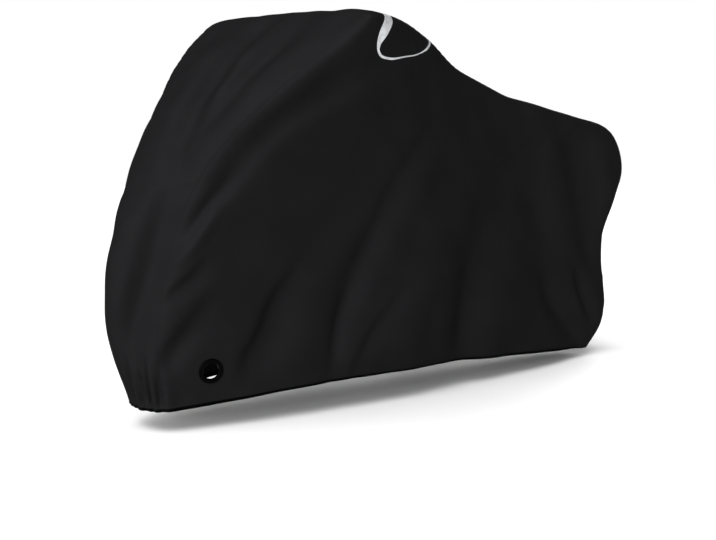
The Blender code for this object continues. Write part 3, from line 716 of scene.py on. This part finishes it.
def turned_ring(name, section, side):
    """A ring turned about an eyelet's axis from a closed outline of (radius, height)."""
    bpy.ops.object.select_all(action="DESELECT")
    bpy.ops.mesh.primitive_circle_add(vertices=len(section), radius=EYELET_RIM)
    ring = bpy.context.object
    ring.name = ring.data.name = name
    for vertex, (radius, height) in zip(ring.data.vertices, section):
        vertex.co = (radius, 0.0, height)
    bpy.ops.object.mode_set(mode="EDIT")
    bpy.ops.mesh.select_all(action="SELECT")
    bpy.ops.mesh.spin(steps=RING_STEPS, angle=2.0 * math.pi, center=(0, 0, 0), axis=(0, 0, 1))
    bpy.ops.mesh.select_all(action="SELECT")
    bpy.ops.mesh.remove_doubles(threshold=RING_MERGE)
    bpy.ops.mesh.normals_make_consistent(inside=False)
    bpy.ops.object.mode_set(mode="OBJECT")
    bpy.ops.object.shade_smooth_by_angle(angle=RING_SHARP)
    centre, outward = eyelet_frame(side)
    turn = outward.to_track_quat("Z", "Y").to_matrix().to_4x4()
    ring.data.transform(Matrix.Translation(centre - Vector(HANG)) @ turn)
    return ring


def eyelet(name, side):
    """The moulded ring outside: a domed flange and the neck that is rolled out inside."""
    middle, half = (EYELET_RIM + EYELET_HOLE) / 2.0, (EYELET_RIM - EYELET_HOLE) / 2.0
    section = [(EYELET_RIM, APART)]
    for step in range(CROWN_STEPS + 1):
        angle = math.pi * step / CROWN_STEPS
        flat = math.copysign(abs(math.cos(angle)) ** CROWN_SHAPE[0], math.cos(angle))
        rise = (CROWN - CROWN_SIDE) * math.sin(angle) ** CROWN_SHAPE[1]
        section.append((middle + half * flat, CROWN_SIDE + rise))
    foot = -CAD_CLOTH - 3.0 * APART - BACKING
    neck = EYELET_HOLE + NECK_WALL
    rim, (inner, outer) = neck + NECK_LIP, LIP_BEVELS
    section += [(EYELET_HOLE, foot - LIP / 2.0), (EYELET_HOLE + inner, foot - LIP),
                (rim, foot - LIP), (rim + outer, foot - LIP / 2.0),
                (rim, foot), (neck, foot), (neck, APART)]
    return turned_ring(name, section, side)


def backing(name, side):
    """The flat washer inside, its rim rounded."""
    top = -CAD_CLOTH - APART
    bore, foot, edge = EYELET_HOLE + NECK_WALL + APART, top - BACKING, BACKING_BEVEL
    section = [(bore, top - edge), (bore, foot + edge), (bore + edge, foot),
               (BACKING_RIM - edge, foot), (BACKING_RIM, foot + edge),
               (BACKING_RIM, top - edge), (BACKING_RIM - edge, top), (bore + edge, top)]
    return turned_ring(name, section, side)


# ------------ the reflective tape
TAPE = 0.0005  # thickness of the tape
# Middle line of the tape seen from the side: (along, height over the floor, width).
TAPE_LINE = (
    (0.214, 1.260, 0.034), (0.206, 1.140, 0.034), (0.194, 1.117, 0.035), (0.183, 1.095, 0.034),
    (0.177, 1.078, 0.025), (0.176, 1.064, 0.015), (0.181, 1.050, 0.008), (0.195, 1.038, 0.007),
    (0.232, 1.031, 0.0065), (0.300, 1.041, 0.0038), (0.343, 1.049, 0.0034), (0.375, 1.060, 0.0042),
    (0.400, 1.074, 0.007), (0.422, 1.096, 0.009), (0.436, 1.130, 0.010), (0.440, 1.260, 0.010))
TAPE_STEPS = 90  # steps along that line
TAPE_PATCH = (0.10, 0.52, 0.96)  # cloth under the tape: from, to and above these places
TAPE_CUTTER = 0.50  # half length of the cutter across the cover


def tape_outline():
    """A bar across the whole cover in the outline of the tape."""
    rows = smooth_line(TAPE_LINE, np.linspace(0.0, 1.0, TAPE_STEPS + 1))
    line, width = rows[:, :2] - HANG[::2], rows[:, 2:]
    run = np.gradient(line, axis=0)
    run /= np.linalg.norm(run, axis=1, keepdims=True)
    square = np.stack([-run[:, 1], run[:, 0]], axis=1) * width / 2.0
    ring = np.concatenate([line + square, (line - square)[::-1]])
    count = len(ring)
    points = [(x, side, z) for side in (-TAPE_CUTTER, TAPE_CUTTER) for x, z in ring]
    faces = [(i, (i + 1) % count, (i + 1) % count + count, i + count) for i in range(count)]
    for first in (0, count):
        faces += [(first + i, first + i + 1, first + count - 2 - i, first + count - 1 - i)
                  for i in range(TAPE_STEPS)]
    bar = new_object("tape_outline", points, faces)
    take(bar)
    bpy.ops.object.mode_set(mode="EDIT")
    bpy.ops.mesh.select_all(action="SELECT")
    bpy.ops.mesh.normals_make_consistent(inside=False)
    bpy.ops.object.mode_set(mode="OBJECT")
    return bar


def reflective_tape(name, cloth):
    """A thin skin over the cloth of the top, cut to the outline of the loop."""
    start, end, lowest = TAPE_PATCH
    middles = cloth.points[cloth.faces].mean(axis=1) + HANG
    under = (middles[:, 0] > start) & (middles[:, 0] < end) & (middles[:, 2] > lowest)
    tape, _ = patch(name, cloth.points + (APART + TAPE) * cloth.normals, cloth.faces[under])
    thicken(tape, TAPE)
    bar = tape_outline()
    cut = tape.modifiers.new("outline", "BOOLEAN")
    cut.operation = "INTERSECT"
    cut.solver = "EXACT"
    cut.object = bar
    finish_modifiers(tape)
    bpy.data.objects.remove(bar, do_unlink=True)
    bpy.ops.object.shade_smooth_by_angle(angle=CLOTH_SHARP)
    return tape


# ------------ the sewing
STITCH = 0.0040  # length of a stitch
STITCH_PITCH = 0.0052  # distance from one stitch to the next
THREAD = 0.0008  # width of the thread
SEAM_ROW = 0.0045  # distance of the top stitching from its seam
HEM_ROW = HEM_BAND - 0.001  # distance of the hem's stitching from the cover's edge
# A stitch seen from above and its height: points (along, across, up) as shares of its length
# and of the thread's width.
STITCH_FORM = ((-0.5, 0.0, -0.3), (-0.25, -0.5, 0.0), (-0.25, 0.0, 0.45), (-0.25, 0.5, 0.0),
               (0.25, -0.5, 0.0), (0.25, 0.0, 0.45), (0.25, 0.5, 0.0), (0.5, 0.0, -0.3))
STITCH_FACES = ((0, 2, 1), (0, 3, 2), (0, 1, 3), (1, 2, 5, 4), (2, 3, 6, 5), (3, 1, 4, 6),
                (4, 5, 7), (5, 6, 7), (6, 4, 7))


def stitched_row(name, cloth, chain, towards, distance, closed=False):
    """A row of stitches on the cloth, at a distance from a chain of its points."""
    surface = BVHTree.FromPolygons(cloth.points.tolist(), cloth.faces.tolist())
    line = cloth.points[chain]
    normals = cloth.normals[chain]
    if closed:
        line, normals = np.vstack([line, line[:1]]), np.vstack([normals, normals[:1]])
    run = run_along(line)
    points, faces = [], []
    for place in np.arange(STITCH_PITCH, run[-1] - STITCH_PITCH, STITCH_PITCH):
        wanted = (place, line), (place + STITCH, line), (place, normals)
        middle, ahead, up = (Vector([np.interp(at, run, values[:, axis]) for axis in range(3)])
                             for at, values in wanted)
        along = (ahead - middle).normalized()
        across = towards * up.cross(along).normalized()
        spot, normal, _, _ = surface.find_nearest(middle + across * distance)
        if spot is None:
            continue
        along = (along - normal * along.dot(normal)).normalized()
        across = normal.cross(along)
        first = len(points)
        for length, width, height in STITCH_FORM:
            points.append(spot + along * (length * STITCH) + across * (width * THREAD)
                          + normal * (height * THREAD))
        faces += [tuple(first + corner for corner in face) for face in STITCH_FACES]
    row = new_object(name, points, faces)
    row.data.shade_smooth()
    return row


# ------------ finishes
MILLIMETRE = 0.001
WAVE_PERIOD = math.pi / 10.0  # length of one band of a wave pattern at scale 1
THREAD_PITCH = 1.2 * MILLIMETRE  # of the weave as drawn
BEAD_PITCH = 1.5 * MILLIMETRE  # of the tape's mottling as drawn


def linear(hex_colour):
    """An sRGB hex colour as linear values."""
    parts = [int(hex_colour[i:i + 2], 16) / 255.0 for i in (1, 3, 5)]
    return (*[c / 12.92 if c <= 0.04045 else ((c + 0.055) / 1.055) ** 2.4 for c in parts], 1.0)


def feed(node, **links):
    """Link sources to a node's sockets. A link's name is the socket's, _ for a space."""
    for key, source in links.items():
        socket = int(key[1:]) if key[0] == "_" else key.replace("_", " ")
        node.id_data.links.new(source, node.inputs[socket])


def add(tree, kind, settings=None, **links):
    """Add a node with its settings and links."""
    node = tree.nodes.new(kind)
    for key, value in (settings or {}).items():
        if hasattr(node, key):
            setattr(node, key, value)
        else:
            node.inputs[key].default_value = value
    feed(node, **links)
    return node


def new_material(name, **settings):
    """A Principled material with its constant values, its node tree and its object space."""
    made = bpy.data.materials.new(name)
    made.use_nodes = True
    tree = made.node_tree
    shader = tree.nodes["Principled BSDF"]
    for key, value in settings.items():
        shader.inputs[key.replace("_", " ")].default_value = value
    return made, tree, shader, add(tree, "ShaderNodeTexCoord").outputs["Object"]


def noise(tree, place, scale, detail):
    """A cloudy pattern."""
    made = add(tree, "ShaderNodeTexNoise", {"Scale": scale, "Detail": detail}, Vector=place)
    return made.outputs["Fac"]


def product(tree, first, second):
    """Two patterns multiplied."""
    made = add(tree, "ShaderNodeMath", {"operation": "MULTIPLY"}, _0=first, _1=second)
    return made.outputs["Value"]


def ranged(tree, pattern, low, high):
    """A pattern's values stretched from 0 and 1 to low and high."""
    made = add(tree, "ShaderNodeMapRange", {"To Min": low, "To Max": high}, Value=pattern)
    return made.outputs["Result"]


def two_tones(tree, pattern, low, high):
    """A colour between two, by a pattern. Each is a hex colour or another node's output."""
    made = add(tree, "ShaderNodeMix", {"data_type": "RGBA"}, _0=pattern)
    for socket, colour in ((6, low), (7, high)):
        if isinstance(colour, str):
            made.inputs[socket].default_value = linear(colour)
        else:
            tree.links.new(colour, made.inputs[socket])
    return made.outputs[2]


def relief(tree, pattern, strength, depth):
    """The normal of a fine relief, its depth in millimetres."""
    made = add(tree, "ShaderNodeBump", {"Strength": strength, "Distance": depth * MILLIMETRE},
               Height=pattern)
    return made.outputs["Normal"]


def coated_polyester():
    """Polyester taffeta, woven fine and coated inside: a smooth black face with a satin sheen.

    The sheen comes from a small metal-like share, because a plain gloss grows towards the
    edges of every fold, where the real cloth stays dark. The weave's real thread spacing of
    about 0.3 mm is too fine to show, so it is drawn at 1.2 mm and kept faint.
    """
    made, tree, shader, place = new_material(
        "coated_black_polyester", Metallic=0.3, IOR=1.5, Specular_IOR_Level=0.004,
        Specular_Tint=linear("#404040"))
    chart = add(tree, "ShaderNodeUVMap", {"uv_map": "cloth"}).outputs["UV"]
    scale = WAVE_PERIOD / THREAD_PITCH
    threads = [add(tree, "ShaderNodeTexWave", {"bands_direction": axis, "Scale": scale},
                   Vector=chart).outputs["Fac"] for axis in "XY"]
    hem = add(tree, "ShaderNodeAttribute", {"attribute_name": "hem_band_painted_shade"}).outputs["Fac"]
    cloudy = two_tones(tree, noise(tree, place, 9.0, 3.0), "#161617", "#1b1b1c")
    rubbed = ranged(tree, noise(tree, place, 60.0, 4.0), 0.58, 0.66)
    matt = add(tree, "ShaderNodeMix", {"B": 0.85}, _0=hem, _2=rubbed).outputs[0]
    # the hem band's near black colour is painted shade, standing in for the shadow under its curl; its
    # roughness is also raised to matt
    feed(shader, Base_Color=two_tones(tree, hem, cloudy, "#040404"), Roughness=matt,
         Normal=relief(tree, product(tree, *threads), 0.12, 0.2))
    return made


def moulded_plastic():
    """Injection moulded nylon, straight from a polished mould: deep black and glossy."""
    made, tree, shader, place = new_material(
        "moulded_black_nylon", IOR=1.53, Specular_IOR_Level=0.02, Base_Color=linear("#020202"))
    grain = noise(tree, place, 900.0, 2.0)
    feed(shader, Roughness=ranged(tree, grain, 0.24, 0.36), Normal=relief(tree, grain, 0.05, 0.1))
    return made


def sewing_thread():
    """Bonded polyester thread: black, a little duller than the cloth it is drawn into."""
    made, tree, shader, place = new_material(
        "bonded_black_thread", IOR=1.5, Specular_IOR_Level=0.004, Roughness=0.6)
    twist = noise(tree, place, 2500.0, 1.0)
    feed(shader, Base_Color=two_tones(tree, twist, "#0a0a0b", "#111112"))
    return made


def glass_bead_tape():
    """Woven tape coated with glass beads: silver grey, finely mottled, with a soft metal sheen.

    The beads are under 0.1 mm, so their mottling is drawn at 1.5 mm.
    """
    made, tree, shader, place = new_material("glass_bead_reflective_tape", Metallic=0.35)
    beads = noise(tree, place, 1.0 / BEAD_PITCH, 2.0)
    mottled = product(tree, beads, noise(tree, place, 70.0, 2.0))
    spread = add(tree, "ShaderNodeMapRange", {"From Min": 0.12, "From Max": 0.38}, Value=mottled)
    feed(shader, Base_Color=two_tones(tree, spread.outputs["Result"], "#a9abad", "#cfd1d3"),
         Roughness=ranged(tree, beads, 0.35, 0.50), Normal=relief(tree, beads, 0.2, 0.1))
    return made


def studio_floor():
    """Matt painted board: an even pale grey with hardly any grain."""
    made, tree, shader, place = new_material("matt_pale_board", Roughness=0.9)
    grain = noise(tree, place, 3.0, 2.0)
    feed(shader, Base_Color=two_tones(tree, grain, "#e6e6e6", "#eaeaea"))
    return made


# ------------ dressing the part
def dress(piece, finish, slot, *nodes):
    """Give a piece its finish, its place on the body and the nodes that it stands for."""
    piece.data.materials.clear()
    piece.data.materials.append(finish)
    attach(piece, "root")
    if nodes:
        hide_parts(*nodes)
    return piece


def make_cover():
    """All pieces of the cover."""
    cloth = drape_cloth()
    polyester, nylon, thread = coated_polyester(), moulded_plastic(), sewing_thread()
    panels = cloth_panels(cloth)
    for name, node in zip(panels, ("side_panel_left", "side_panel_right", "centre_panel")):
        dress(panels[name], polyester, "black_polyester", node)
    for hand, seam, towards in (("left", 0, 1), ("right", 1, -1)):
        row = stitched_row("seam_stitching_" + hand, cloth, cloth.seams[seam], towards, SEAM_ROW)
        dress(row, thread, "black_polyester")
    row = stitched_row("hem_stitching", cloth, cloth.hem, 1, HEM_ROW, closed=True)
    dress(row, thread, "black_polyester")
    for side, hand in ((-1, "left"), (1, "right")):
        dress(eyelet("moulded_eyelet_" + hand, side), nylon, "black_plastic", "eyelet_" + hand)
        dress(backing("eyelet_backing_" + hand, side), nylon, "black_plastic",
              "eyelet_washer_" + hand)
    tape = dress(reflective_tape("tape_loop", cloth), glass_bead_tape(), "silver_tape",
                 "reflective_tape")


# ------------ floor, lights and camera
CAMERA_PLACE = (-1.716, -2.514, -0.446)  # in the part's own frame
CAMERA_TURN = math.radians(38.0)  # how far it looks from +Y towards +X
CAMERA_DROP = math.radians(6.0)  # how far it looks down
CAMERA_LENS = 50.28  # focal length in mm on a 36 mm wide sensor
CAMERA_REACH = 100.0  # how far it sees
FLOOR_SIZE = 60.0
FLOOR_MIDDLE = 0.6  # where its middle lies along the cover
WORLD_GLOW = 0.08  # light that the backdrop itself gives
# A lamp's light comes along its direction. Its softness is the angle that it spans in degrees,
# and its gloss says whether smooth faces mirror it.
Lamp = namedtuple("Lamp", "name direction strength softness gloss")
LAMPS = (
    Lamp("front", (0.92, 0.05, -0.28), 0.9, 24.0, True),  # from straight before the front
    Lamp("main", (0.75, 0.63, -0.22), 2.5, 30.0, True),  # from the camera's left
    Lamp("top", (0.45, 0.20, -1.00), 3.6, 60.0, True),
    Lamp("rear", (-0.80, -0.52, -0.28), 3.4, 30.0, False),  # from behind the right side
)


def aim(item, direction):
    """Point a camera or a lamp along a direction."""
    item.rotation_euler = Vector(direction).to_track_quat("-Z", "Y").to_euler()


def add_lamp(lamp):
    """A distant lamp behind a wide diffuser: its light comes along one direction."""
    light = bpy.data.lights.new(lamp.name, "SUN")
    light.energy = lamp.strength
    light.angle = math.radians(lamp.softness)
    holder = bpy.data.objects.new(lamp.name, light)
    aim(holder, lamp.direction)
    holder.visible_glossy = lamp.gloss
    bpy.context.scene.collection.objects.link(holder)


def studio_world():
    """A white backdrop all round that shines only weakly on what stands in it."""
    world = bpy.data.worlds.new("studio")
    world.use_nodes = True
    tree = world.node_tree
    glow = tree.nodes["Background"]
    glow.inputs["Color"].default_value = linear("#ffffff")
    glow.inputs["Strength"].default_value = WORLD_GLOW
    backdrop = add(tree, "ShaderNodeBackground", {"Strength": 1.0, "Color": linear("#ffffff")})
    seen = add(tree, "ShaderNodeLightPath").outputs["Is Camera Ray"]
    mixed = add(tree, "ShaderNodeMixShader", _0=seen, _1=glow.outputs[0], _2=backdrop.outputs[0])
    feed(tree.nodes["World Output"], Surface=mixed.outputs[0])
    return world


def make_studio():
    """A pale floor, soft lights and the camera at the photograph's angle."""
    bpy.ops.object.select_all(action="DESELECT")
    bpy.ops.mesh.primitive_plane_add(size=FLOOR_SIZE, location=(FLOOR_MIDDLE, 0.0, -HANG[2]))
    floor = bpy.context.object
    floor.name = "floor"
    floor.data.materials.append(studio_floor())
    bpy.context.scene.world = studio_world()
    for lamp in LAMPS:
        add_lamp(lamp)
    camera = bpy.data.cameras.new("camera")
    camera.lens = CAMERA_LENS
    camera.clip_end = CAMERA_REACH
    holder = bpy.data.objects.new("camera", camera)
    holder.location = CAMERA_PLACE
    level = math.cos(CAMERA_DROP)
    aim(holder, (math.sin(CAMERA_TURN) * level, math.cos(CAMERA_TURN) * level,
                 -math.sin(CAMERA_DROP)))
    bpy.context.scene.collection.objects.link(holder)
    bpy.context.scene.camera = holder
    bpy.context.scene.view_settings.view_transform = "Standard"


make_cover()
make_studio()
